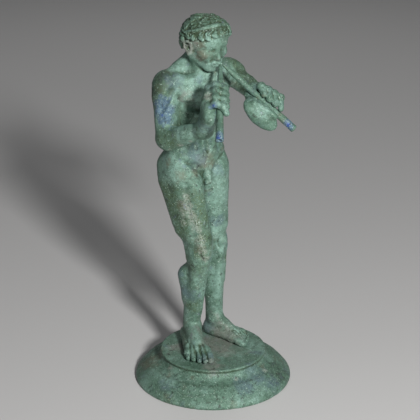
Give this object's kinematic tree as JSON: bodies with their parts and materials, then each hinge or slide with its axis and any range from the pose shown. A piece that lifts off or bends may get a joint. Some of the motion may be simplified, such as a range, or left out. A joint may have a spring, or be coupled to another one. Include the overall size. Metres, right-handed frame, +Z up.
{
  "type": "faun statuette playing double pipes",
  "caption": "Small cast bronze figure of a standing nude youth with a hair band, blowing two diverging pipes, on a round moulded base, with green patina.",
  "frame": {"origin": "middle of the base's flat underside", "axes": "+Z up through the figure, -Y the way the figure faces, +X to the figure's left hand"},
  "size_m": [0.082, 0.082, 0.1935],
  "materials": {
    "patina_figure": "matt green patina on cast bronze, sea green on the high parts, dark olive in the hollows, with blue spots",
    "patina_left_pipe": "matt green patina on cast bronze, blue at the end",
    "patina_right_pipe": "matt green patina on cast bronze, blue at the end",
    "patina_base": "rough mottled green patina on cast bronze with grey film on top"
  },
  "bodies": {
    "root": {"figure": "patina_figure", "left_pipe": "patina_left_pipe", "right_pipe": "patina_right_pipe", "base": "patina_base"}
  },
  "joints": []
}
